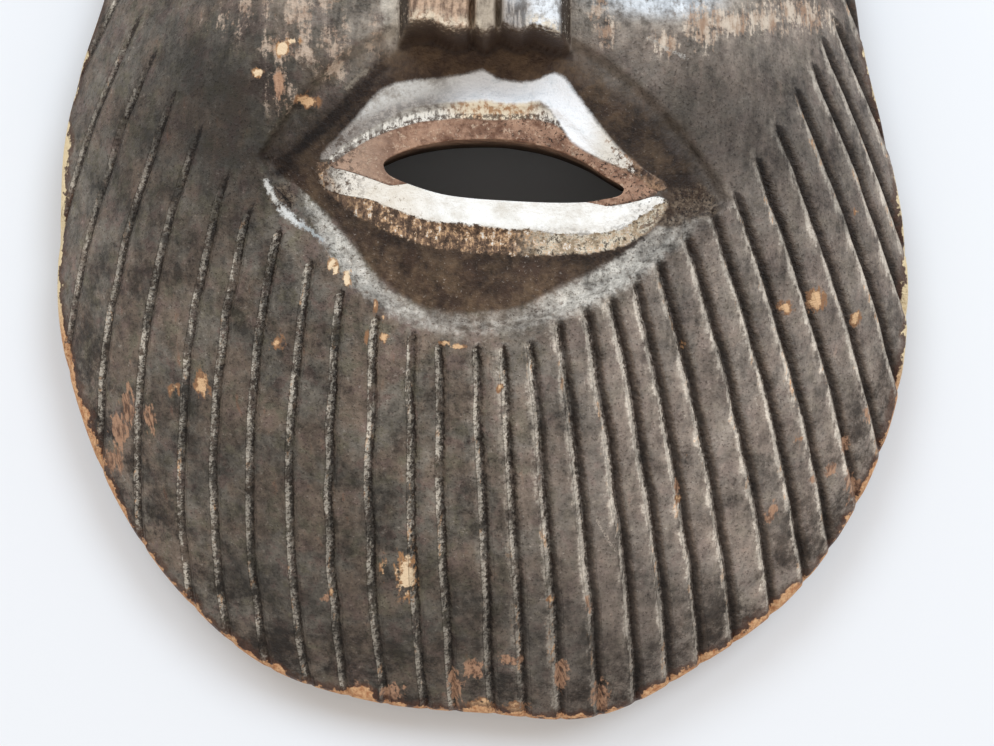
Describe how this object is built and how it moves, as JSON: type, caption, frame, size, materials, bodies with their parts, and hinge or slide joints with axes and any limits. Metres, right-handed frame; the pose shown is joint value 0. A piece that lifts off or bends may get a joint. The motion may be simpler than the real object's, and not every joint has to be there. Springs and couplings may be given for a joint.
{
  "type": "carved wooden face mask",
  "caption": "Carved wooden face mask with a broad grooved beard, an open mouth, pierced eyes and a hollow back.",
  "frame": {"origin": "under the middle of the mask's box, on the plane of the flat back rim that it lies on", "axes": "+Y from the beard up to the crown, +Z out of the face, +X across the face, to the right of someone who looks at it"},
  "size_m": [0.2205, 0.3358, 0.079],
  "materials": {
    "stained_wood": "dark stained carved wood, satin, worn to bare wood on its edges"
  },
  "bodies": {
    "root": {"mask": "stained_wood"}
  },
  "joints": []
}
